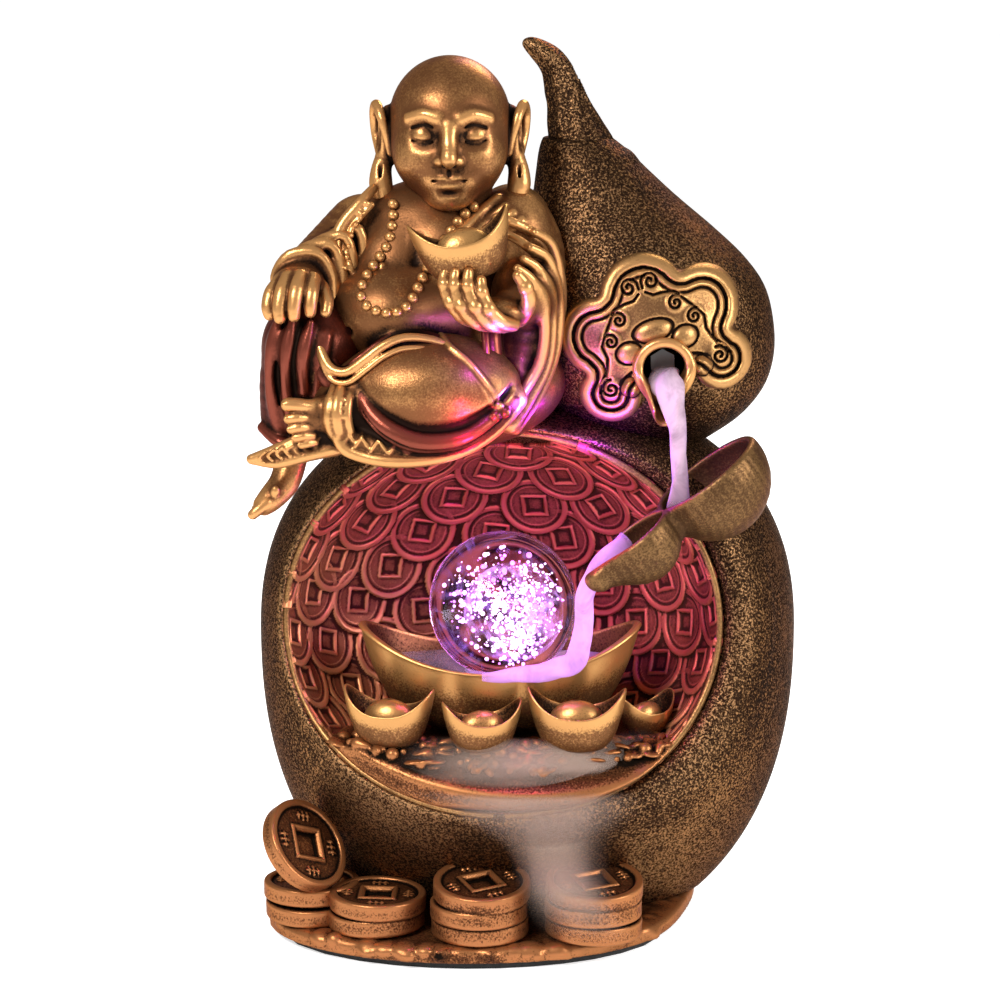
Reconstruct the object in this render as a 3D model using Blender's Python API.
"""Tabletop water fountain shaped as a double gourd, with a seated figure, a coin-lined grotto,
an ingot bowl that holds a turning crystal ball, and a pump, a mist maker and a light inside.

Metres, +Z up. The viewer stands on the -Y side. The origin is the middle of the underside.
"""

import math

import bmesh
import bpy
from mathutils import Matrix, Vector

MM = 0.001
CLEAR = 0.4 * MM  # gap between neighbouring castings

# ---- driving dimensions -------------------------------------------------------------------
BULB_RADIUS = 92.5 * MM  # lower bulb, side to side
BULB_DEPTH_SHARE = 0.82  # front to back, as a share of side to side
BULB_WAIST_Z = 98 * MM  # height of the widest section
BULB_BELOW = 112 * MM  # reach of the outline under the waist
BULB_ABOVE = 82 * MM  # reach of the outline over the waist
BULB_POWER = 2.3  # 2 would be an ellipse
BULB_X = 1.5 * MM
BULB_WALL = 4.5 * MM

PAD_THICK = 2.0 * MM
PLINTH_THICK = 5.7 * MM
PLINTH_GAP = 0.3 * MM
PLINTH_TOP = PAD_THICK + PLINTH_GAP + PLINTH_THICK
BULB_FOOT_Z = PLINTH_TOP + PLINTH_GAP

GROTTO_CENTRE = Vector((-8, -46, 110.5)) * MM
GROTTO_HALF_WIDTH = 74.5 * MM
GROTTO_HALF_HEIGHT = 64 * MM
GROTTO_DEPTH = 64 * MM
GROTTO_TURN = math.radians(-10.9)  # the mouth looks a little to the left
GROTTO_LEAN = math.radians(21.7)  # and upwards
LINER_WALL = 3 * MM

LEDGE_TOP = 70 * MM
LEDGE_CENTRE = Vector((-8, -36)) * MM
LEDGE_RADII = (60 * MM, 26 * MM)

BOWL_CENTRE = Vector((-8, -29)) * MM
BOWL_HALF_LENGTH = 46 * MM
BOWL_HALF_WIDTH = 23 * MM
BOWL_RIM_Z = 93 * MM
BOWL_TIP_RISE = 12 * MM
BOWL_WALL = 2.4 * MM

BALL_RADIUS = 25 * MM
BALL_LIFT = 18 * MM  # bottom of the ball over the ledge
SEAT_RADIUS = 13 * MM

UPPER_WALL = 4 * MM
SPOUT_RADIUS = 7 * MM
SPOUT_WALL = 1.6 * MM
SPOUT_MOUTH = Vector((46, -41, 197)) * MM
SPOUT_FALL = math.radians(38)

LADLE_BIG = Vector((BULB_X + 0.646 * BULB_RADIUS, -0.556 * BULB_RADIUS, 160.5 * MM))
LADLE_BIG_RADIUS = 20 * MM
LADLE_SMALL = Vector((BULB_X + 0.39 * BULB_RADIUS, -0.665 * BULB_RADIUS, 142 * MM))
LADLE_SMALL_RADIUS = 13.5 * MM
LADLE_WALL = 2.4 * MM

COIN_RADIUS = 17 * MM
COIN_THICK = 6 * MM

HOSE_RADIUS = 4.5 * MM
LEAD_RADIUS = 1.3 * MM

HEAD_CENTRE = Vector((-24.5, -30, 273)) * MM
HEAD_RADII = Vector((20, 21, 24.5)) * MM

# ---- materials ----------------------------------------------------------------------------
COLOURS = {
    "speckled_bronze": ((0.20, 0.13, 0.08), 0.45, 0.7),
    "gold_bronze": ((0.50, 0.28, 0.11), 0.38, 0.8),
    "red_bronze": ((0.38, 0.12, 0.08), 0.45, 0.6),
    "crystal": ((0.85, 0.75, 0.95), 0.02, 0.0),
    "black_plastic": ((0.03, 0.03, 0.035), 0.5, 0.0),
    "grey_plastic": ((0.35, 0.36, 0.38), 0.5, 0.0),
    "clear_hose": ((0.75, 0.8, 0.8), 0.25, 0.0),
    "rubber": ((0.02, 0.02, 0.02), 0.8, 0.0),
    "led_lens": ((0.8, 0.5, 0.95), 0.2, 0.0),
    "circuit_green": ((0.03, 0.22, 0.10), 0.5, 0.0),
    "steel": ((0.6, 0.6, 0.62), 0.3, 1.0),
    "ceramic": ((0.85, 0.83, 0.78), 0.3, 0.0),
}


def material(name):
    found = bpy.data.materials.get(name)
    if found:
        return found
    colour, roughness, metallic = COLOURS[name]
    made = bpy.data.materials.new(name)
    made.use_nodes = True
    shader = made.node_tree.nodes["Principled BSDF"]
    shader.inputs["Base Color"].default_value = (*colour, 1)
    shader.inputs["Roughness"].default_value = roughness
    shader.inputs["Metallic"].default_value = metallic
    return made


# ---- building blocks ----------------------------------------------------------------------
def loft(name, rings, slot, location=(0, 0, 0), rotation=None):
    """A closed solid through rings of equal count. A ring of one point is a pole."""
    mesh = bmesh.new()
    made = [[mesh.verts.new(p) for p in ring] for ring in rings]
    for low, high in zip(made, made[1:]):
        count = max(len(low), len(high))
        for i in range(count):
            j = (i + 1) % count
            corners = [low[i % len(low)], low[j % len(low)]]
            corners += [high[j % len(high)], high[i % len(high)]]
            mesh.faces.new(list(dict.fromkeys(corners)))
    for end in (made[0], made[-1]):
        if len(end) > 2:
            mesh.faces.new(end)
    bmesh.ops.recalc_face_normals(mesh, faces=mesh.faces)
    return finish(name, mesh, slot, location, rotation)


def finish(name, mesh, slot, location=(0, 0, 0), rotation=None):
    data = bpy.data.meshes.new(name)
    mesh.to_mesh(data)
    mesh.free()
    data.materials.append(material(slot))
    data.shade_smooth()
    obj = bpy.data.objects.new(name, data)
    obj.location = location
    if rotation is not None:
        obj.rotation_euler = rotation.to_euler()
    bpy.context.scene.collection.objects.link(obj)
    return obj


def circle(radius_x, radius_y, z, count, centre=(0, 0)):
    ring = []
    for i in range(count):
        angle = 2 * math.pi * i / count
        x = centre[0] + radius_x * math.cos(angle)
        y = centre[1] + radius_y * math.sin(angle)
        ring.append(Vector((x, y, z)))
    return ring


def in_mm(*points):
    """Points given in millimetres, as metres."""
    return [tuple(value * MM for value in point) for point in points]


def turned(name, profile, slot, count=24, location=(0, 0, 0), rotation=None):
    """A turned solid from (radius, height) points. A radius of zero is a pole."""
    rings = []
    for radius, z in profile:
        rings.append([Vector((0, 0, z))] if radius == 0 else circle(radius, radius, z, count))
    return loft(name, rings, slot, location, rotation)


def ellipsoid(name, centre, radii, slot, count=20, bands=10, rotation=None):
    rings = []
    for band in range(bands + 1):
        angle = math.pi * band / bands
        z = -radii[2] * math.cos(angle)
        share = math.sin(angle)
        if band in (0, bands):
            rings.append([Vector((0, 0, z))])
        else:
            rings.append(circle(radii[0] * share, radii[1] * share, z, count))
    return loft(name, rings, slot, centre, rotation)


def block(name, centre, size, slot, rotation=None, bevel=0.0):
    mesh = bmesh.new()
    bmesh.ops.create_cube(mesh, size=1)
    bmesh.ops.scale(mesh, vec=size, verts=mesh.verts)
    if bevel:
        bmesh.ops.bevel(mesh, geom=mesh.edges, offset=bevel, segments=2, affect="EDGES")
    return finish(name, mesh, slot, centre, rotation)


def rod(name, start, end, radius, slot, count=20, end_radius=None):
    """A straight round bar, or a cone where end_radius is given."""
    start, end = Vector(start), Vector(end)
    length = (end - start).length
    turn = (end - start).to_track_quat("Z", "Y").to_matrix()
    last = radius if end_radius is None else end_radius
    return turned(name, [(radius, 0), (last, length)], slot, count, start, turn)


def smooth_path(points, steps):
    """Points along a Catmull-Rom curve through the given ones, which may hold extra numbers."""
    path = []
    last = len(points) - 1
    for i in range(last):
        before, after = points[max(i - 1, 0)], points[min(i + 2, last)]
        here, there = points[i], points[i + 1]
        for step in range(steps):
            t = step / steps
            values = []
            for p0, p1, p2, p3 in zip(before, here, there, after):
                bend = 2 * p0 - 5 * p1 + 4 * p2 - p3
                twist = 3 * (p1 - p2) + p3 - p0
                values.append(0.5 * (2 * p1 + (p2 - p0) * t + bend * t * t + twist * t**3))
            path.append(values)
    path.append(list(points[-1]))
    return path


def horn(name, points, slot, count=16, steps=2):
    """A bent tapering solid. Each point is x, y, z and a radius, in millimetres."""
    path = smooth_path(points, steps)
    rings = []
    for i, (x, y, z, radius) in enumerate(path):
        ahead = Vector(path[min(i + 1, len(path) - 1)][:3])
        behind = Vector(path[max(i - 1, 0)][:3])
        turn = (ahead - behind).to_track_quat("Z", "Y").to_matrix()
        here = Vector((x, y, z))
        rings.append([(here + turn @ p) * MM for p in circle(radius, radius, 0, count)])
    return loft(name, rings, slot)


def tube(name, points, radius, slot, steps=5, resolution=2):
    """A round cord or hose along a smooth curve through points given in millimetres."""
    curve = bpy.data.curves.new(name, "CURVE")
    curve.dimensions = "3D"
    curve.bevel_depth = radius
    curve.bevel_resolution = resolution
    curve.use_fill_caps = True
    path = smooth_path(points, steps)
    spline = curve.splines.new("POLY")
    spline.points.add(len(path) - 1)
    for point, place in zip(spline.points, path):
        point.co = (*(Vector(place) * MM), 1)
    curve.materials.append(material(slot))
    obj = bpy.data.objects.new(name, curve)
    bpy.context.scene.collection.objects.link(obj)
    return obj


def change(target, tool, operation):
    """Adds a Boolean. A tool that isn't a part itself becomes a hidden helper."""
    modifier = target.modifiers.new(tool.name, "BOOLEAN")
    modifier.operation = operation
    modifier.object = tool
    if tool.name.startswith("helper_"):
        tool.hide_render = True
        tool.display_type = "WIRE"
    return target


def cut(target, *tools):
    for tool in tools:
        change(target, tool, "DIFFERENCE")
    return target


def join(target, *tools):
    for tool in tools:
        change(target, tool, "UNION")
    return target


def keep(target, tool):
    return change(target, tool, "INTERSECT")


# ---- shared outlines ----------------------------------------------------------------------
def bulb_radius_at(z, grow=0.0):
    reach = (BULB_ABOVE if z > BULB_WAIST_Z else BULB_BELOW) + grow
    share = min(abs(z - BULB_WAIST_Z) / reach, 1.0)
    return (BULB_RADIUS + grow) * (1 - share**BULB_POWER) ** (1 / BULB_POWER)


def bulb_solid(name, grow, low, count=36, bands=10, slot="speckled_bronze"):
    """The lower bulb's outline, grown or shrunk, with a straight skirt where low is under its foot."""
    top = BULB_WAIST_Z + BULB_ABOVE + grow
    rings = []
    if low < BULB_FOOT_Z:
        radius = bulb_radius_at(BULB_FOOT_Z, grow)
        rings.append(circle(radius, radius * BULB_DEPTH_SHARE, low, count, (BULB_X, 0)))
    for band in range(bands + 1):
        share = band / bands
        z = BULB_FOOT_Z + (top - BULB_FOOT_Z) * math.sin(share * math.pi / 2)
        radius = bulb_radius_at(z, grow)
        if band == bands:
            rings.append([Vector((BULB_X, 0, top))])
        else:
            rings.append(circle(radius, radius * BULB_DEPTH_SHARE, z, count, (BULB_X, 0)))
    return loft(name, rings, slot)


def grotto_turn():
    """The grotto's own frame: X across the mouth, Y up it and Z out of it."""
    out = Vector((math.sin(GROTTO_TURN), -math.cos(GROTTO_TURN), 0)) * math.cos(GROTTO_LEAN)
    out.z = math.sin(GROTTO_LEAN)
    across = Vector((0, 0, 1)).cross(out).normalized()
    return Matrix((across, out.cross(across), out)).transposed()


def grotto_solid(name, grow, count=28, bands=12, slot="red_bronze"):
    radii = (GROTTO_HALF_WIDTH + grow, GROTTO_HALF_HEIGHT + grow, GROTTO_DEPTH + grow)
    return ellipsoid(name, GROTTO_CENTRE, radii, slot, count, bands, grotto_turn())


# Upper bulb: height, middle of the section and its radius, in millimetres, bottom to top.
UPPER_SECTIONS = (
    (162, 42.5, 6.0),
    (168, 42.5, 24.0),
    (175, 42.5, 33.5),
    (184, 42.5, 40.0),
    (194, 42.0, 43.5),
    (207.3, 41.0, 44.4),
    (217, 40.0, 42.4),
    (227, 37.5, 38.0),
    (237, 33.0, 32.0),
    (248, 27.5, 24.5),
    (257, 23.2, 19.6),
    (263, 20.5, 16.4),
)
UPPER_Y = 2 * MM


def upper_solid(name, grow, count=26, slot="speckled_bronze"):
    rings = [[Vector((42.5 * MM, UPPER_Y, 161 * MM - grow))]]
    for z, middle, radius in UPPER_SECTIONS:
        high = z * MM + grow * (z - 200) / 60
        rings.append(circle(radius * MM + grow, radius * MM + grow, high, count, (middle * MM, UPPER_Y)))
    rings.append([Vector((19.5 * MM, UPPER_Y, 265.5 * MM + grow))])
    return loft(name, rings, slot)


def boat_ring(half_length, half_width, z, rise, count, centre=(0, 0)):
    """An oval ring whose two ends lift by rise."""
    ring = circle(half_length, half_width, z, count, centre)
    for i, point in enumerate(ring):
        lift = abs(math.cos(2 * math.pi * i / count)) ** 2.5
        point.z += rise * lift
    return ring


# ---- casing -------------------------------------------------------------------------------
def base():
    pad_ring = base_outline(0.94, 0.0)
    top_ring = base_outline(0.94, PAD_THICK)
    loft("base_pad", [pad_ring, top_ring], "rubber")
    low = PAD_THICK + PLINTH_GAP
    rings = [base_outline(0.97, low), base_outline(1.0, low + 2 * MM), base_outline(0.985, PLINTH_TOP)]
    loft("plinth", rings, "gold_bronze")


def base_outline(share, z, count=36):
    """The foot of the bulb and the apron of coins in front of it, as the wider of two ovals."""
    ring = []
    for i in range(count):
        angle = 2 * math.pi * i / count
        way = Vector((math.cos(angle), math.sin(angle)))
        reach = 0.0
        for centre, radii in (((1.5, 0), (60, 49)), ((-18, -34), (70, 46))):
            origin = Vector((-8, -12)) - Vector(centre)
            a = (way.x / radii[0]) ** 2 + (way.y / radii[1]) ** 2
            b = 2 * (origin.x * way.x / radii[0] ** 2 + origin.y * way.y / radii[1] ** 2)
            c = (origin.x / radii[0]) ** 2 + (origin.y / radii[1]) ** 2 - 1
            reach = max(reach, (-b + math.sqrt(b * b - 4 * a * c)) / (2 * a))
        point = (Vector((-8, -12)) + way * reach * share) * MM
        ring.append(Vector((point.x, point.y, z)))
    return ring


DOOR_CENTRE = Vector((1.5, 66, 92)) * MM
DOOR_SIZE = Vector((70, 50, 84)) * MM
PANEL_CENTRE = Vector((1.5, 53, 28)) * MM
PANEL_SIZE = Vector((54, 3, 22)) * MM
NECK_HOLE = Vector((36, 14)) * MM
NECK_HOLE_RADIUS = 12 * MM


def lower_shell():
    shell = bulb_solid("gourd_lower_shell", 0.0, BULB_FOOT_Z)
    hollow = bulb_solid("helper_bulb_hollow", -BULB_WALL, 0.0, 28, 8)
    mouth = grotto_solid("helper_grotto_mouth", LINER_WALL + CLEAR)
    opening = block("helper_door_opening", DOOR_CENTRE, DOOR_SIZE, "black_plastic", bevel=8 * MM)
    recess = block(
        "helper_panel_opening",
        PANEL_CENTRE + Vector((0, 12 * MM, 0)),
        PANEL_SIZE + Vector((2 * CLEAR, 40 * MM, 2 * CLEAR)),
        "black_plastic",
    )
    neck = rod(
        "helper_neck_hole",
        (NECK_HOLE.x, NECK_HOLE.y, 0.15),
        (NECK_HOLE.x, NECK_HOLE.y, 0.19),
        NECK_HOLE_RADIUS,
        "black_plastic",
    )
    cut(shell, hollow, mouth, opening, recess, neck)


def rear_door():
    door = bulb_solid("rear_door", 0.0, BULB_FOOT_Z)
    hollow = bulb_solid("helper_door_hollow", -BULB_WALL, 0.0, 28, 8)
    frame = block(
        "helper_door_frame",
        DOOR_CENTRE,
        DOOR_SIZE - Vector((2 * CLEAR, 2 * CLEAR, 2 * CLEAR)),
        "black_plastic",
        bevel=8 * MM - CLEAR,
    )
    cut(door, hollow)
    keep(door, frame)
    notch = rod(
        "helper_finger_notch",
        DOOR_CENTRE + Vector((0, -30 * MM, DOOR_SIZE.z / 2)),
        DOOR_CENTRE + Vector((0, 30 * MM, DOOR_SIZE.z / 2)),
        7 * MM,
        "black_plastic",
    )
    cut(door, notch)


def grotto():
    liner = grotto_solid("grotto_liner", LINER_WALL)
    inside = grotto_solid("helper_grotto_inside", 0.0)
    outline = bulb_solid("helper_liner_outline", -0.2 * MM, 0.0)
    cut(liner, inside)
    keep(liner, outline)
    drain = rod(
        "helper_drain_hole",
        DRAIN_PLACE - DRAIN_AXIS * 8 * MM,
        DRAIN_PLACE + DRAIN_AXIS * 8 * MM,
        DRAIN_RADIUS + CLEAR,
        "black_plastic",
    )
    cut(liner, drain)
    ledge = loft(
        "treasure_ledge",
        [
            circle(LEDGE_RADII[0] * share, LEDGE_RADII[1] * share, z, 36, LEDGE_CENTRE)
            for share, z in ((1.13, 30 * MM), (1.0, LEDGE_TOP - 2 * MM), (0.975, LEDGE_TOP))
        ],
        "gold_bronze",
    )
    keep(ledge, grotto_solid("helper_ledge_floor", -CLEAR))
    well = rod(
        "helper_lead_well",
        (BOWL_CENTRE.x, BOWL_CENTRE.y, 20 * MM),
        (BOWL_CENTRE.x, BOWL_CENTRE.y, 90 * MM),
        4 * MM,
        "black_plastic",
    )
    cut(ledge, well)
    cut(liner, well)


DRAIN_PLACE = Vector((-8, -64.5, 49.8)) * MM
DRAIN_AXIS = Vector((0, -0.29, -1)).normalized()
DRAIN_RADIUS = 3.6 * MM


def drain_grate():
    turn = (-DRAIN_AXIS).to_track_quat("Z", "Y").to_matrix()
    grate = turned(
        "drain_grate",
        [(DRAIN_RADIUS, -2.5 * MM), (DRAIN_RADIUS, 0), (DRAIN_RADIUS - 0.6 * MM, 0.4 * MM)],
        "steel",
        20,
        DRAIN_PLACE,
        turn,
    )
    for i in (-1, 0, 1):
        slit = block(
            f"helper_grate_slit_{i + 2}",
            DRAIN_PLACE + turn @ Vector((i * 1.9 * MM, 0, 0)),
            (0.8 * MM, 4.2 * MM, 9 * MM),
            "steel",
            turn,
        )
        cut(grate, slit)


UPPER_FLOOR = 185 * MM


def upper_shell():
    shell = upper_solid("gourd_upper_shell", 0.0)
    hollow = upper_solid("helper_upper_hollow", -UPPER_WALL, 20)
    room = block(
        "helper_upper_room",
        (42 * MM, UPPER_Y, UPPER_FLOOR + 60 * MM),
        (140 * MM, 140 * MM, 120 * MM),
        "black_plastic",
    )
    keep(hollow, room)
    keepout = bulb_solid("helper_upper_seat", CLEAR, 0.0)
    cut(keepout, grotto_solid("helper_upper_over_grotto", -CLEAR))
    spout_way = rod(
        "helper_spout_way",
        SPOUT_MOUTH + Vector((0, 30 * MM, 0)),
        SPOUT_MOUTH - Vector((0, 12 * MM, 0)),
        SPOUT_RADIUS + SPOUT_WALL + CLEAR,
        "black_plastic",
    )
    neck = rod(
        "helper_upper_neck_hole",
        (NECK_HOLE.x, NECK_HOLE.y, 0.15),
        (NECK_HOLE.x, NECK_HOLE.y, 0.2),
        NECK_HOLE_RADIUS - 1 * MM,
        "black_plastic",
    )
    cut(shell, hollow, keepout, spout_way, neck)


def stem():
    points = (
        (20.3, 2, 257, 11.0),
        (19.8, 2, 263.2, 15.0),
        (17.6, 3, 269, 12.0),
        (15.4, 3, 276, 8.6),
        (14.6, 3, 284, 6.4),
        (12.4, 3, 291, 5.4),
        (8.0, 3, 296.6, 4.5),
        (3.4, 3, 299.2, 3.0),
        (0.8, 3, 299.4, 1.2),
    )
    made = horn("stem", points, "speckled_bronze", 14)
    cut(made, upper_solid("helper_stem_seat", CLEAR))


PLAQUE_TURN = math.radians(17)
PLAQUE_THICK = 3.4 * MM
# Lobes of the cloud outline: place from the spout's middle and radius, in millimetres.
PLAQUE_LOBES = (
    ((0, 23), 14.5),
    ((-17, 15), 13.0),
    ((17, 15), 13.0),
    ((-19, -4), 10.5),
    ((19, -4), 10.5),
    ((0, 5), 14.0),
)


def plaque_outline(grow=0.0, count=44):
    points = []
    middle = Vector((0, 8))
    for i in range(count):
        angle = 2 * math.pi * i / count
        way = Vector((math.cos(angle), math.sin(angle)))
        reach = 0.0
        for centre, radius in PLAQUE_LOBES:
            to_lobe = Vector(centre) - middle
            along = to_lobe.dot(way)
            off = to_lobe.length_squared - along * along
            if off < (radius + grow) ** 2:
                reach = max(reach, along + math.sqrt((radius + grow) ** 2 - off))
        points.append(middle + way * reach)
    return points


def plaque():
    turn = Matrix.Rotation(PLAQUE_TURN, 2)
    rings = []
    for y in (-60 * MM, -14 * MM):
        ring = []
        for point in plaque_outline():
            u, v = turn @ point
            ring.append(Vector((SPOUT_MOUTH.x + u * MM, y, SPOUT_MOUTH.z + v * MM)))
        rings.append(ring)
    plate = loft("ruyi_plaque", rings, "gold_bronze")
    keep(plate, upper_solid("helper_plaque_face", CLEAR + PLAQUE_THICK))
    cut(plate, upper_solid("helper_plaque_back", CLEAR))
    hole = rod(
        "helper_plaque_hole",
        SPOUT_MOUTH + Vector((0, 20 * MM, 0)),
        SPOUT_MOUTH - Vector((0, 40 * MM, 0)),
        SPOUT_RADIUS + SPOUT_WALL + CLEAR,
        "gold_bronze",
    )
    cut(plate, hole)


def spout():
    """A pipe through the plaque that ends in an open lip, falling forwards."""
    outer = SPOUT_RADIUS + SPOUT_WALL
    back = SPOUT_MOUTH + Vector((0, 14 * MM, 0))
    front = SPOUT_MOUTH - Vector((0, 6 * MM, 0))
    fall = Vector((0, -math.cos(SPOUT_FALL), -math.sin(SPOUT_FALL)))
    pipe = rod("spout", back, front, outer, "gold_bronze", 16)
    lip = rod(
        "helper_spout_lip",
        front - fall * 1.5 * MM,
        front + fall * 17 * MM,
        outer,
        "gold_bronze",
        16,
        5 * MM,
    )
    bore = rod("helper_spout_bore", back + Vector((0, 5 * MM, 0)), front, SPOUT_RADIUS, "gold_bronze", 14)
    groove = rod(
        "helper_spout_groove",
        front - fall * 6 * MM,
        front + fall * 30 * MM,
        SPOUT_RADIUS,
        "gold_bronze",
        14,
        2.6 * MM,
    )
    join(pipe, lip)
    cut(pipe, bore, groove)
    open_top = block(
        "helper_spout_open_top",
        front + Vector((0, -14 * MM, 10 * MM)),
        (40 * MM, 30 * MM, 20 * MM),
        "gold_bronze",
        Matrix.Rotation(SPOUT_FALL * 0.9, 3, "X"),
    )
    cut(pipe, open_top)


def ladle():
    """A dipper made of half a small gourd: two cups in a row, open on top."""
    axis = (LADLE_SMALL - LADLE_BIG).normalized()
    open_way = (Vector((0, 0, 1)) - axis * axis.z).normalized()
    mouth = LADLE_SMALL + axis * LADLE_SMALL_RADIUS * 1.35
    dipper = ellipsoid("gourd_ladle", LADLE_BIG, (LADLE_BIG_RADIUS,) * 3, "gold_bronze", 18, 9)
    small = ellipsoid("helper_ladle_small", LADLE_SMALL, (LADLE_SMALL_RADIUS,) * 3, "gold_bronze", 16, 8)
    waist = rod("helper_ladle_waist", LADLE_BIG, LADLE_SMALL, 9.5 * MM, "gold_bronze", 14)
    beak = rod("helper_ladle_beak", LADLE_SMALL, mouth, 9 * MM, "gold_bronze", 14, 5.5 * MM)
    join(dipper, small, waist, beak)
    wall = LADLE_WALL
    inner = LADLE_BIG_RADIUS - wall
    big_cup = ellipsoid("helper_ladle_big_cup", LADLE_BIG, (inner,) * 3, "gold_bronze", 16, 8)
    inner = LADLE_SMALL_RADIUS - wall
    small_cup = ellipsoid("helper_ladle_small_cup", LADLE_SMALL, (inner,) * 3, "gold_bronze", 14, 7)
    channel = rod("helper_ladle_channel", LADLE_BIG, LADLE_SMALL, 7 * MM, "gold_bronze", 12)
    way_out = rod(
        "helper_ladle_way_out",
        LADLE_SMALL,
        mouth + axis * 2 * MM,
        6.5 * MM,
        "gold_bronze",
        12,
        3.4 * MM,
    )
    cut(dipper, big_cup, small_cup, channel, way_out)
    turn = open_way.to_track_quat("Z", "Y").to_matrix()
    above = block(
        "helper_ladle_open_side",
        (LADLE_BIG + LADLE_SMALL) / 2 + open_way * 41 * MM,
        (120 * MM, 120 * MM, 80 * MM),
        "gold_bronze",
        turn,
    )
    cut(dipper, above)
    keepout = bulb_solid("helper_ladle_seat", CLEAR, 0.0)
    cut(keepout, grotto_solid("helper_ladle_over_grotto", -CLEAR))
    cut(dipper, keepout, upper_solid("helper_ladle_upper", CLEAR))


# ---- treasure -----------------------------------------------------------------------------
BOWL_FLOOR_SHARE = 0.14


def ingot_bowl():
    floor = LEDGE_TOP + PLINTH_GAP
    count = 28
    height = BOWL_RIM_Z - floor
    rings = []
    outside = ((0.42, 0.0), (0.62, 0.16), (0.80, 0.42), (0.93, 0.74), (1.0, 1.0))
    inside = ((1.0, 1.0), (0.93, 0.74), (0.80, 0.44), (0.60, 0.22), (0.46, BOWL_FLOOR_SHARE))
    for sizes, wall in ((outside, 0.0), (inside, BOWL_WALL)):
        for share, up in sizes:
            rings.append(
                boat_ring(
                    BOWL_HALF_LENGTH * share - wall,
                    BOWL_HALF_WIDTH * share - wall,
                    floor + height * up,
                    BOWL_TIP_RISE * max(up - BOWL_FLOOR_SHARE, 0.0),
                    count,
                    BOWL_CENTRE,
                )
            )
    bowl = loft("ingot_bowl", rings, "gold_bronze")
    well = rod(
        "helper_bowl_well",
        (BOWL_CENTRE.x, BOWL_CENTRE.y, 60 * MM),
        (BOWL_CENTRE.x, BOWL_CENTRE.y, 76 * MM),
        4 * MM,
        "gold_bronze",
    )
    cut(bowl, well)


BOWL_FLOOR = LEDGE_TOP + PLINTH_GAP + (BOWL_RIM_Z - LEDGE_TOP - PLINTH_GAP) * BOWL_FLOOR_SHARE
BALL_CENTRE = Vector((BOWL_CENTRE.x + 1 * MM, BOWL_CENTRE.y, LEDGE_TOP + BALL_LIFT + BALL_RADIUS))


def ball_and_light():
    ball = ellipsoid("crystal_ball", BALL_CENTRE, (BALL_RADIUS,) * 3, "crystal", 24, 12)
    seat_low = BOWL_FLOOR + PLINTH_GAP
    seat_top = BALL_CENTRE.z - BALL_RADIUS + 3.6 * MM
    seat = turned(
        "ball_seat",
        [
            (6.0 * MM, seat_low),
            (7.2 * MM, seat_low),
            (SEAT_RADIUS - 2 * MM, seat_top - 4 * MM),
            (SEAT_RADIUS, seat_top - 1.5 * MM),
            (SEAT_RADIUS - 1 * MM, seat_top),
            (SEAT_RADIUS - 3.2 * MM, seat_top),
            (8.8 * MM, seat_top - 4 * MM),
            (5.0 * MM, seat_low + 2 * MM),
            (5.0 * MM, seat_low),
        ],
        "grey_plastic",
        16,
        (BALL_CENTRE.x, BALL_CENTRE.y, 0),
    )
    seat.data = ring_mesh(seat)
    clearance = ellipsoid(
        "helper_ball_clearance", BALL_CENTRE, (BALL_RADIUS + 0.5 * MM,) * 3, "crystal", 24, 12
    )
    cut(seat, clearance)
    puck_top = seat_top - 6.2 * MM
    place = (BALL_CENTRE.x, BALL_CENTRE.y, 0)
    turned(
        "led_module",
        [(0, seat_low + 2.4 * MM), (4.4 * MM, seat_low + 2.4 * MM), (4.4 * MM, puck_top), (0, puck_top)],
        "circuit_green",
        16,
        place,
    )
    turned(
        "led_lens",
        [
            (0, puck_top + 0.3 * MM),
            (4.2 * MM, puck_top + 0.3 * MM),
            (3.4 * MM, puck_top + 1.5 * MM),
            (0, puck_top + 2.4 * MM),
        ],
        "led_lens",
        16,
        place,
    )


def ring_mesh(obj):
    """Turns a closed run of rings into a ring with a hole: the two end caps become one band."""
    mesh = bmesh.new()
    mesh.from_mesh(obj.data)
    caps = [face for face in mesh.faces if len(face.verts) > 4]
    edges = [list(cap.edges) for cap in caps]
    bmesh.ops.delete(mesh, geom=caps, context="FACES_ONLY")
    bmesh.ops.bridge_loops(mesh, edges=edges[0] + edges[1])
    bmesh.ops.recalc_face_normals(mesh, faces=mesh.faces)
    data = obj.data
    mesh.to_mesh(data)
    mesh.free()
    return data


# Treasure ingots: name, place, turn about Z in degrees and length, in millimetres.
INGOTS = (
    ("ingot_left", (-45, -51.5), -14, 31),
    ("ingot_middle", (-14, -58.5), 12, 27),
    ("ingot_right", (17.5, -57), -4, 33),
    ("ingot_far_right", (41.5, -38), 38, 22),
)


def ingot(name, place, degrees, length, z, slot="gold_bronze", count=14, tilt=0.0):
    """A boat-shaped ingot with raised ends and a domed middle."""
    half = length / 2
    width = half * 0.62
    height = half * 0.72
    rise = half * 0.5
    profile = (
        (0.50, 0.0, 0.0),
        (0.76, 0.30, 0.2),
        (0.93, 0.68, 0.6),
        (1.00, 0.98, 1.0),
        (0.92, 0.98, 1.0),
        (0.70, 0.66, 0.5),
        (0.52, 0.58, 0.1),
        (0.42, 0.92, 0.0),
        (0.24, 1.16, 0.0),
    )
    rings = []
    for share, up, lift in profile:
        rings.append(
            boat_ring(half * share * MM, width * share * MM, height * up * MM, rise * lift * MM, count)
        )
    rings.append([Vector((0, 0, height * 1.24 * MM))])
    turn = Matrix.Rotation(math.radians(degrees), 3, "Z") @ Matrix.Rotation(tilt, 3, "Y")
    return loft(name, rings, slot, (place[0] * MM, place[1] * MM, z), turn)


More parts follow.
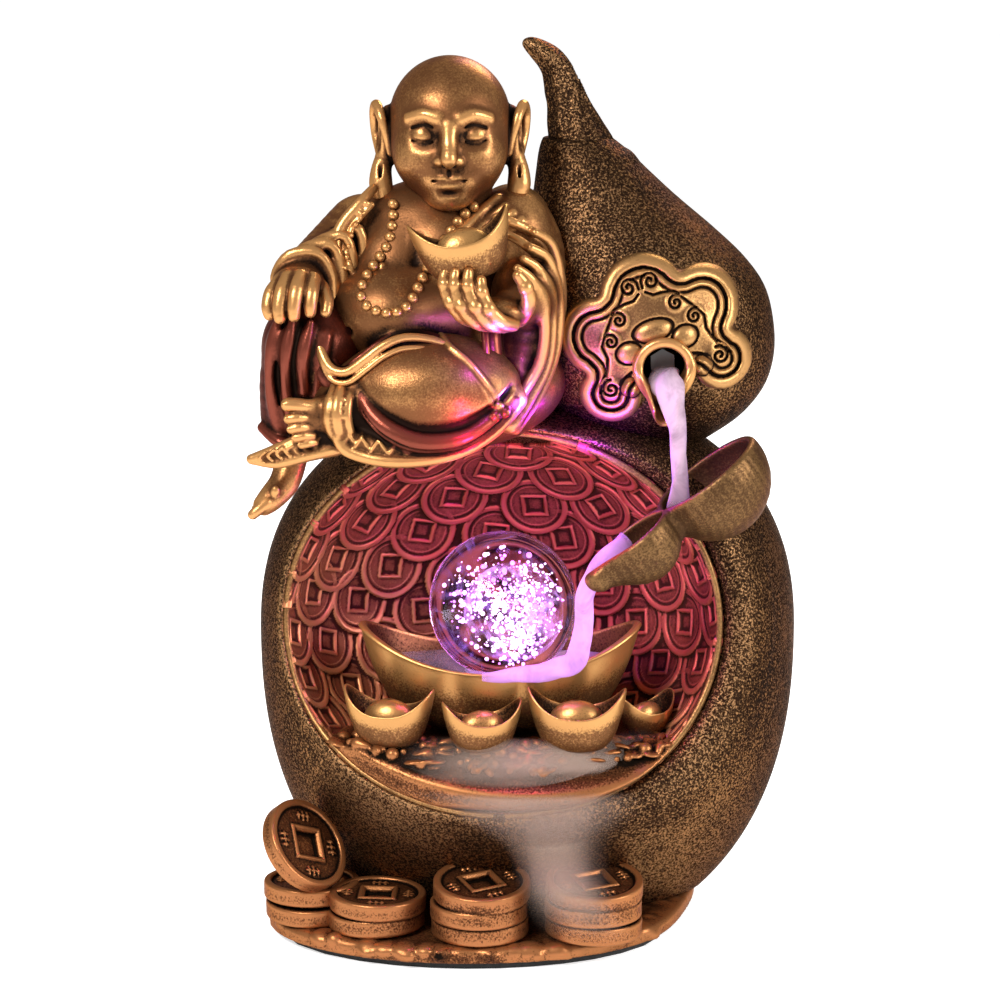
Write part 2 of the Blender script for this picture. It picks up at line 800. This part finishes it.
def treasure():
    for name, place, degrees, length in INGOTS:
        made = ingot(name, place, degrees, length, LEDGE_TOP + PLINTH_GAP)
        if name == "ingot_far_right":
            cut(made, grotto_solid_outside("helper_ingot_wall"))


def grotto_solid_outside(name):
    """Everything outside the grotto's wall, as a block with the grotto cut out of it."""
    outside = block(name, GROTTO_CENTRE, (0.3, 0.3, 0.3), "red_bronze")
    cut(outside, grotto_solid(name + "_hole", -CLEAR))
    outside.hide_render = True
    outside.display_type = "WIRE"
    return outside


# Coins round the foot: name, place, number in the stack, turn and lean, in millimetres and degrees.
COIN_STACKS = (
    ("coin_stack_right", (23.5, -62, 0), 3, 10, (0, 0)),
    ("coin_stack_middle", (-14.5, -63, 0), 3, 35, (0, 0)),
    ("coin_stack_left", (-49.5, -55, 0), 2, 20, (0, 0)),
)
COIN_RECESS = 1.2 * MM
COIN_HOLE = 4.5 * MM


def coin_stack(name, place, number, turn_degrees, lean, base_z=None):
    """Coins cast together in a stack, each with a rounded edge; the top one shows its face."""
    profile = [(0, 0), (COIN_RADIUS - 1.5 * MM, 0)]
    for i in range(number):
        low = i * COIN_THICK
        profile.append((COIN_RADIUS, low + 1.6 * MM))
        profile.append((COIN_RADIUS, low + COIN_THICK - 1.6 * MM))
        profile.append((COIN_RADIUS - 1.5 * MM, low + COIN_THICK))
    top = number * COIN_THICK
    profile.append((COIN_RADIUS - 3.2 * MM, top))
    profile.append((COIN_RADIUS - 3.8 * MM, top - COIN_RECESS))
    profile.append((0, top - COIN_RECESS))
    turn = Matrix.Rotation(math.radians(lean[0]), 3, "X") @ Matrix.Rotation(math.radians(lean[1]), 3, "Y")
    turn = turn @ Matrix.Rotation(math.radians(turn_degrees), 3, "Z")
    z = PLINTH_TOP + PLINTH_GAP if base_z is None else base_z
    location = Vector((place[0] * MM, place[1] * MM, z))
    stack = turned(name, profile, "gold_bronze", 16, location, turn)
    frame = block(
        "helper_hole_" + name,
        location + turn @ Vector((0, 0, top)),
        (2 * COIN_HOLE, 2 * COIN_HOLE, 7 * MM),
        "gold_bronze",
        turn,
    )
    cut(stack, frame)
    return stack


def base_coins():
    foot = bulb_solid("helper_coin_foot", CLEAR, 0.0)
    for name, place, number, turn_degrees, lean in COIN_STACKS:
        cut(coin_stack(name, place, number, turn_degrees, lean), foot)
    left_x, left_y = COIN_STACKS[-1][1][:2]
    beside = rod(
        "helper_coin_beside",
        (left_x * MM, left_y * MM, 0),
        (left_x * MM, left_y * MM, 0.06),
        COIN_RADIUS + CLEAR,
        "gold_bronze",
    )
    low = coin_stack("coin_stack_far_left", (-72, -42, 0), 2, 0, (0, 0))
    cut(low, foot, beside)
    leaning = coin_stack("coin_leaning", (-73, -48, 0), 1, 15, (34, -22), 33 * MM)
    cut(leaning, foot)


# ---- seated figure ------------------------------------------------------------------------
def blobs(name, parts, slot="gold_bronze"):
    """One body joined from ellipsoids, each a middle and three radii in millimetres."""
    first, *rest = parts
    made = ellipsoid(name, Vector(first[0]) * MM, Vector(first[1]) * MM, slot, 12, 7)
    for i, (centre, radii) in enumerate(rest):
        more = ellipsoid(f"helper_{name}_{i}", Vector(centre) * MM, Vector(radii) * MM, slot, 12, 7)
        join(made, more)
    return made


def grown(parts, by):
    return [(centre, [radius + by for radius in radii]) for centre, radii in parts]


TORSO = [
    ((-25, -27, 231), (30, 19, 24)),
    ((-29, -34, 211), (31, 25, 23)),
    ((-28, -27, 190), (44, 30, 24)),
]
FOLDED_LEG = [
    ((-31, -57, 189), (33, 20, 17)),
    ((-57, -62, 179), (15, 12, 9)),
    ((-70, -66, 175), (14, 8, 9)),
]
HANGING_LEG = [
    ((-68, -48, 205), (19, 20, 22)),
    ((-76, -46, 182), (11, 14, 25)),
    ((-83, -52, 161), (7, 9, 11)),
]
RIGHT_ARM = [
    ((-54, -27, 232), (12, 14, 16)),
    ((-67, -36, 228), (13, 13, 10)),
    ((-74, -50, 229), (10, 11, 7)),
]
LEFT_ARM = [
    ((0, -24, 233), (11, 15, 19)),
    ((2, -35, 213), (9, 14, 24)),
    ((-4, -48, 191), (8, 11, 21)),
    ((0, -50, 215), (11, 15, 10)),
    ((-9, -62, 220), (15, 9, 8)),
]
HEAD = [
    (tuple(HEAD_CENTRE / MM), tuple(HEAD_RADII / MM)),
    ((-24.5, -26, 250), (11, 11, 9)),
    ((-44.5, -26, 262), (5.5, 5, 12)),
    ((-4, -26, 264), (5.5, 5, 12)),
]
GAP_MM = 0.8  # between faceted bodies of the figure


def figure():
    """Each later piece is cut clear of the pieces before it, and all of them of the gourd."""
    order = (
        ("figure_torso", TORSO),
        ("figure_folded_leg", FOLDED_LEG),
        ("figure_hanging_leg", HANGING_LEG),
        ("figure_right_arm", RIGHT_ARM),
        ("figure_left_arm", LEFT_ARM),
        ("figure_head", HEAD),
    )
    seat = bulb_solid("helper_figure_seat", CLEAR, 0.0)
    beside = upper_solid("helper_figure_beside", CLEAR)
    horn_gap = block(
        "helper_figure_stem",
        Vector((20, 3, 275)) * MM,
        Vector((40, 60, 40)) * MM,
        "gold_bronze",
    )
    before = []
    for name, parts in order:
        made = blobs(name, parts)
        for tool in before:
            cut(made, tool)
        cut(made, seat, beside)
        if name == "figure_head":
            cut(made, horn_gap)
        before.append(blobs("helper_gap_" + name, grown(parts, GAP_MM)))
        before[-1].hide_render = True
        before[-1].display_type = "WIRE"
    held = ingot("held_ingot", (-12, -64), -8, 27, 229 * MM)
    cut(held, *before)


def torso_front(x, z, off):
    """How far forward the torso's skin is at x, z, with a margin off it, in millimetres."""
    nearest = 0.0
    for centre, radii in TORSO:
        room = 1 - ((x - centre[0]) / radii[0]) ** 2 - ((z - centre[2]) / radii[2]) ** 2
        if room > 0:
            nearest = min(nearest, centre[1] - radii[1] * math.sqrt(room))
    return nearest - off


def necklace():
    bead = 1.5
    route = (
        (-38, 247), (-43, 238), (-46, 228), (-46, 219), (-41, 213),
        (-34, 212), (-29, 217), (-26, 226), (-22, 236), (-17, 244),
    )
    points = [(x, torso_front(x, z, bead + 1.6), z) for x, z in route]
    tube("bead_necklace", points, bead * MM, "gold_bronze", 2, 1)


# ---- water works --------------------------------------------------------------------------
TUB_FLOOR = BULB_FOOT_Z + 1 * MM
TUB_WALL = 2 * MM
TUB_TOP = 41 * MM
TUB_RADII = (49 * MM, 38 * MM)
PUMP_CENTRE = Vector((21, 2)) * MM
PUMP_SIZE = Vector((34, 28, 20)) * MM
CUP_HEIGHT = 3.4 * MM
PUMP_LOW = TUB_FLOOR + TUB_WALL + 2 * PLINTH_GAP + CUP_HEIGHT
PUMP_MIDDLE = Vector((PUMP_CENTRE.x, PUMP_CENTRE.y, PUMP_LOW + PUMP_SIZE.z / 2))
ROTOR_X = PUMP_CENTRE.x - PUMP_SIZE.x / 2
CHAMBER_RADIUS = 8 * MM
CHAMBER_DEPTH = 7 * MM


def reservoir():
    count = 28
    wall = TUB_WALL
    rings = [
        circle(TUB_RADII[0] - 4 * MM, TUB_RADII[1] - 4 * MM, TUB_FLOOR, count, (BULB_X, 0)),
        circle(TUB_RADII[0], TUB_RADII[1], TUB_TOP, count, (BULB_X, 0)),
        circle(TUB_RADII[0] - wall, TUB_RADII[1] - wall, TUB_TOP, count, (BULB_X, 0)),
        circle(
            TUB_RADII[0] - wall - 4 * MM, TUB_RADII[1] - wall - 4 * MM, TUB_FLOOR + wall, count, (BULB_X, 0)
        ),
    ]
    loft("reservoir_tub", rings, "black_plastic")


def pump():
    body = block("pump_body", PUMP_MIDDLE, PUMP_SIZE, "black_plastic", bevel=2 * MM)
    face = Vector((ROTOR_X, PUMP_MIDDLE.y, PUMP_MIDDLE.z))
    chamber = rod(
        "helper_pump_chamber",
        face - Vector((2 * MM, 0, 0)),
        face + Vector((CHAMBER_DEPTH, 0, 0)),
        CHAMBER_RADIUS,
        "black_plastic",
        24,
    )
    magnet_well = rod(
        "helper_magnet_well", face, face + Vector((22 * MM, 0, 0)), 5 * MM, "black_plastic", 20
    )
    port = Vector((face.x + 3.5 * MM, face.y + 3.5 * MM, face.z))
    outlet_way = rod(
        "helper_outlet_way",
        port,
        port + Vector((0, 0, 20 * MM)),
        2.6 * MM,
        "black_plastic",
        16,
    )
    cut(body, chamber, magnet_well, outlet_way)
    outlet_low = PUMP_LOW + PUMP_SIZE.z + PLINTH_GAP
    stub = turned(
        "pump_outlet",
        in_mm(
            (4.6, 0), (4.6, 1.5), (3.0, 1.5), (3.0, 5), (2.2, 5), (2.2, 0),
        ),
        "black_plastic",
        16,
        (port.x, port.y, outlet_low),
    )
    stub.data = ring_mesh(stub)
    rotor(face)
    intake_cover(face)
    suction_cups()
    return port, outlet_low + 5 * MM


def rotor(face):
    """Magnet and impeller on one axis along X."""
    turn = Matrix.Rotation(math.radians(90), 3, "Y")
    made = turned(
        "pump_rotor",
        in_mm(
            (0, 0.8), (2.4, 0.8), (2.4, 5.2), (4.4, 6.0), (4.4, 20), (0, 20),
        ),
        "ceramic",
        18,
        face,
        turn,
    )
    for i in range(4):
        spin = Matrix.Rotation(math.pi / 2 * i, 3, "X")
        vane = block(
            f"helper_vane_{i}",
            face + spin @ Vector((3.0 * MM, 0, 4.2 * MM)),
            (3.6 * MM, 1.2 * MM, 5.8 * MM),
            "ceramic",
            spin,
        )
        join(made, vane)


COVER_THICK = 4 * MM
SLIDER_TRAVEL = 6 * MM


def intake_cover(face):
    cover_x = face.x - PLINTH_GAP - COVER_THICK / 2
    cover = block(
        "pump_intake_cover",
        (cover_x, face.y, face.z),
        (COVER_THICK, PUMP_SIZE.y, PUMP_SIZE.z),
        "grey_plastic",
        bevel=0.8 * MM,
    )
    for i in range(5):
        slit = block(
            f"helper_intake_slit_{i}",
            (cover_x, face.y - 6 * MM + i * 3 * MM, face.z - 1 * MM),
            (COVER_THICK * 2, 1.4 * MM, 11 * MM),
            "grey_plastic",
        )
        cut(cover, slit)
    track = block(
        "helper_slider_track",
        (cover_x - COVER_THICK / 2, face.y, face.z + 7.2 * MM),
        (3.0 * MM, 18 * MM, 2.8 * MM),
        "grey_plastic",
    )
    cut(cover, track)
    block(
        "flow_slider",
        (cover_x - COVER_THICK / 2 - 0.1 * MM, face.y - SLIDER_TRAVEL / 2, face.z + 7.2 * MM),
        (2.2 * MM, 5 * MM, 2.0 * MM),
        "black_plastic",
        bevel=0.3 * MM,
    )


def suction_cups():
    low = TUB_FLOOR + TUB_WALL + PLINTH_GAP
    for i, (side, end) in enumerate(((-1, -1), (-1, 1), (1, -1), (1, 1))):
        place = Vector((PUMP_CENTRE.x + end * 11 * MM, PUMP_CENTRE.y + side * 8.5 * MM, low))
        turned(
            f"suction_cup_{i + 1}",
            in_mm(
                (0, 0.8), (4.6, 0), (4.6, 0.8), (1.8, 2.0), (1.8, CUP_HEIGHT / MM),
                (0, CUP_HEIGHT / MM),
            ),
            "rubber",
            16,
            place,
        )


def hose(port, start_z):
    x, y, z = port.x / MM, port.y / MM, start_z / MM
    points = (
        (x, y, z + 0.5),
        (x, y + 0.5, z + 7),
        (x + 2, y + 6, z + 15),
        (x + 8, y + 18, z + 21),
        (24, 36, 66),
        (33, 46, 82),
        (37, 49, 106),
        (38, 42, 130),
        (36, 24, 156),
        (36, 14, 172),
        (37, 11.5, 187),
        (40, 4, 194),
        (45, -8, 197),
        (46, -20, 197),
        (46, -34, 197),
    )
    tube("delivery_hose", points, HOSE_RADIUS, "clear_hose", 2, 1)


def mist_maker():
    place = Vector((BULB_X - 24 * MM, 0, TUB_FLOOR + TUB_WALL + PLINTH_GAP))
    turned(
        "mist_maker",
        in_mm(
            (0, 0), (15, 0), (16, 2), (16, 11), (13, 13), (10.4, 13), (10.4, 10), (0, 10),
        ),
        "steel",
        20,
        place,
    )
    turned(
        "mist_disc",
        [(0, 10.3 * MM), (8 * MM, 10.3 * MM), (8 * MM, 11 * MM), (0, 11 * MM)],
        "ceramic",
        24,
        place,
    )
    ring = turned(
        "mist_disc_ring",
        [(8.4 * MM, 10.3 * MM), (10 * MM, 10.3 * MM), (10 * MM, 12.4 * MM), (8.4 * MM, 12.4 * MM)],
        "gold_bronze",
        24,
        place,
    )
    ring.data = ring_mesh(ring)
    return place


# ---- electrics ----------------------------------------------------------------------------
BOX_CENTRE = Vector((-22, 46, 64)) * MM
BOX_SIZE = Vector((34, 12, 26)) * MM
JACK_X = PANEL_CENTRE.x - 12 * MM
SWITCH_X = PANEL_CENTRE.x + 12 * MM
SWITCH_SIZE = Vector((13, 9, 19)) * MM


def control_box():
    shell = block("control_box", BOX_CENTRE, BOX_SIZE, "black_plastic", bevel=1.5 * MM)
    inside = block(
        "helper_box_inside",
        BOX_CENTRE + Vector((0, 2 * MM, 0)),
        BOX_SIZE - Vector((4, 2, 4)) * MM,
        "black_plastic",
    )
    cut(shell, inside)
    block(
        "control_board",
        BOX_CENTRE + Vector((0, 1.4 * MM, 0)),
        (BOX_SIZE.x - 6 * MM, 1.6 * MM, BOX_SIZE.z - 6 * MM),
        "circuit_green",
    )


def socket_panel():
    deep = 22 * MM
    panel = block(
        "socket_panel",
        PANEL_CENTRE + Vector((0, deep / 2 - PANEL_SIZE.y / 2, 0)),
        Vector((PANEL_SIZE.x, deep, PANEL_SIZE.z)),
        "black_plastic",
    )
    keep(panel, bulb_solid("helper_panel_face", -0.8 * MM, 0.0))
    pocket = block(
        "helper_panel_pocket",
        PANEL_CENTRE + Vector((0, PANEL_SIZE.y / 2 + 20 * MM, 0)),
        Vector((PANEL_SIZE.x - 5 * MM, 40 * MM, PANEL_SIZE.z - 5 * MM)),
        "black_plastic",
    )
    cut(panel, pocket)
    jack_hole = rod(
        "helper_jack_hole",
        (JACK_X, PANEL_CENTRE.y - 10 * MM, PANEL_CENTRE.z),
        (JACK_X, PANEL_CENTRE.y + 10 * MM, PANEL_CENTRE.z),
        4 * MM + PLINTH_GAP,
        "black_plastic",
        24,
    )
    switch_hole = block(
        "helper_switch_hole",
        (SWITCH_X, PANEL_CENTRE.y, PANEL_CENTRE.z),
        (SWITCH_SIZE.x + 2 * PLINTH_GAP, 20 * MM, SWITCH_SIZE.y + 2 * PLINTH_GAP),
        "black_plastic",
    )
    cut(panel, jack_hole, switch_hole)
    back = PANEL_CENTRE.y + PANEL_SIZE.y / 2
    turn = Matrix.Rotation(math.radians(-90), 3, "X")
    jack = turned(
        "power_inlet",
        in_mm(
            (4, -9), (4, 1.8), (5.5, 1.8), (5.5, 3), (2.8, 3), (2.8, -7), (0.9, -7), (0.9, 1),
            (0, 1),
        ),
        "black_plastic",
        20,
        (JACK_X, PANEL_CENTRE.y, PANEL_CENTRE.z),
        turn,
    )
    nut = turned(
        "inlet_nut",
        [(5 * MM, 0), (6.6 * MM, 0), (6.6 * MM, 2.4 * MM), (5 * MM, 2.4 * MM)],
        "steel",
        6,
        (JACK_X, PANEL_CENTRE.y - PANEL_SIZE.y / 2 - PLINTH_GAP - 2.4 * MM, PANEL_CENTRE.z),
        turn,
    )
    nut.data = ring_mesh(nut)
    housing = block(
        "switch_housing",
        (SWITCH_X, back - 5 * MM, PANEL_CENTRE.z),
        (SWITCH_SIZE.x, 13 * MM, SWITCH_SIZE.y),
        "black_plastic",
    )
    well = block(
        "helper_switch_well",
        (SWITCH_X, back + 1.5 * MM, PANEL_CENTRE.z),
        (SWITCH_SIZE.x - 2.4 * MM, 11 * MM, SWITCH_SIZE.y - 2.4 * MM),
        "black_plastic",
    )
    cut(housing, well)
    rocker = loft(
        "light_rocker",
        [
            [Vector((x * s, d, z * s2)) for x, z in ((-1, -1), (1, -1), (1, 1), (-1, 1))]
            for s, s2, d in in_mm((4.9, 2.6, -2.2), (4.9, 2.9, 0.8), (4.7, 2.8, 2.6))
        ],
        "grey_plastic",
        (SWITCH_X, back - 0.4 * MM, PANEL_CENTRE.z),
    )
    return jack, rocker


def leads(mist_place):
    """Low-voltage leads, held inside the casing along their whole route."""
    box_low = BOX_CENTRE.z / MM - BOX_SIZE.z / 2 / MM
    box_x, box_y = BOX_CENTRE.x / MM, BOX_CENTRE.y / MM
    mist = mist_place / MM
    tube(
        "mist_lead",
        (
            (mist.x - 3, mist.y + 17.0, mist.z + 6),
            (mist.x - 3, mist.y + 20, mist.z + 18),
            (mist.x - 3, mist.y + 22, mist.z + 28),
            (mist.x - 3, mist.y + 27, mist.z + 34),
            (mist.x - 4, mist.y + 34, mist.z + 35),
            (box_x - 8, box_y - 1, box_low - 2.2),
        ),
        LEAD_RADIUS,
        "rubber",
        2,
        1,
    )
    pump_x, pump_y, pump_z = PUMP_MIDDLE / MM
    tube(
        "pump_lead",
        (
            (pump_x + 10, pump_y + 15.4, pump_z + 2),
            (pump_x + 9, pump_y + 19, pump_z + 9),
            (pump_x + 3, pump_y + 22, pump_z + 17),
            (pump_x - 9, pump_y + 26, pump_z + 20),
            (pump_x - 25, pump_y + 34, pump_z + 21),
            (box_x + 8, box_y - 1, box_low - 2.2),
        ),
        LEAD_RADIUS,
        "rubber",
        2,
        1,
    )
    bowl_x, bowl_y = BALL_CENTRE.x / MM, BALL_CENTRE.y / MM
    seat_low = (BOWL_FLOOR + PLINTH_GAP) / MM
    tube(
        "led_lead",
        (
            (bowl_x, bowl_y, seat_low + 1.8),
            (bowl_x - 0.8, bowl_y, 66),
            (bowl_x - 1, bowl_y, 50),
            (bowl_x - 1, bowl_y + 0.5, 43.5),
            (bowl_x - 2, bowl_y + 6, 41.5),
            (bowl_x - 3, bowl_y + 16, 42),
            (bowl_x - 4, bowl_y + 34, 42),
            (bowl_x - 6, 30, 44),
            (box_x + 2, 40, 46),
            (box_x, box_y - 1, box_low - 2.2),
        ),
        LEAD_RADIUS * 0.8,
        "rubber",
        2,
        1,
    )


# ---- assembly -----------------------------------------------------------------------------
def build():
    for old in list(bpy.data.objects):
        bpy.data.objects.remove(old)
    base()
    lower_shell()
    rear_door()
    grotto()
    drain_grate()
    upper_shell()
    stem()
    plaque()
    spout()
    ladle()
    ingot_bowl()
    ball_and_light()
    treasure()
    base_coins()
    figure()
    necklace()
    reservoir()
    port, hose_start = pump()
    hose(port, hose_start)
    mist_place = mist_maker()
    control_box()
    socket_panel()
    leads(mist_place)


build()
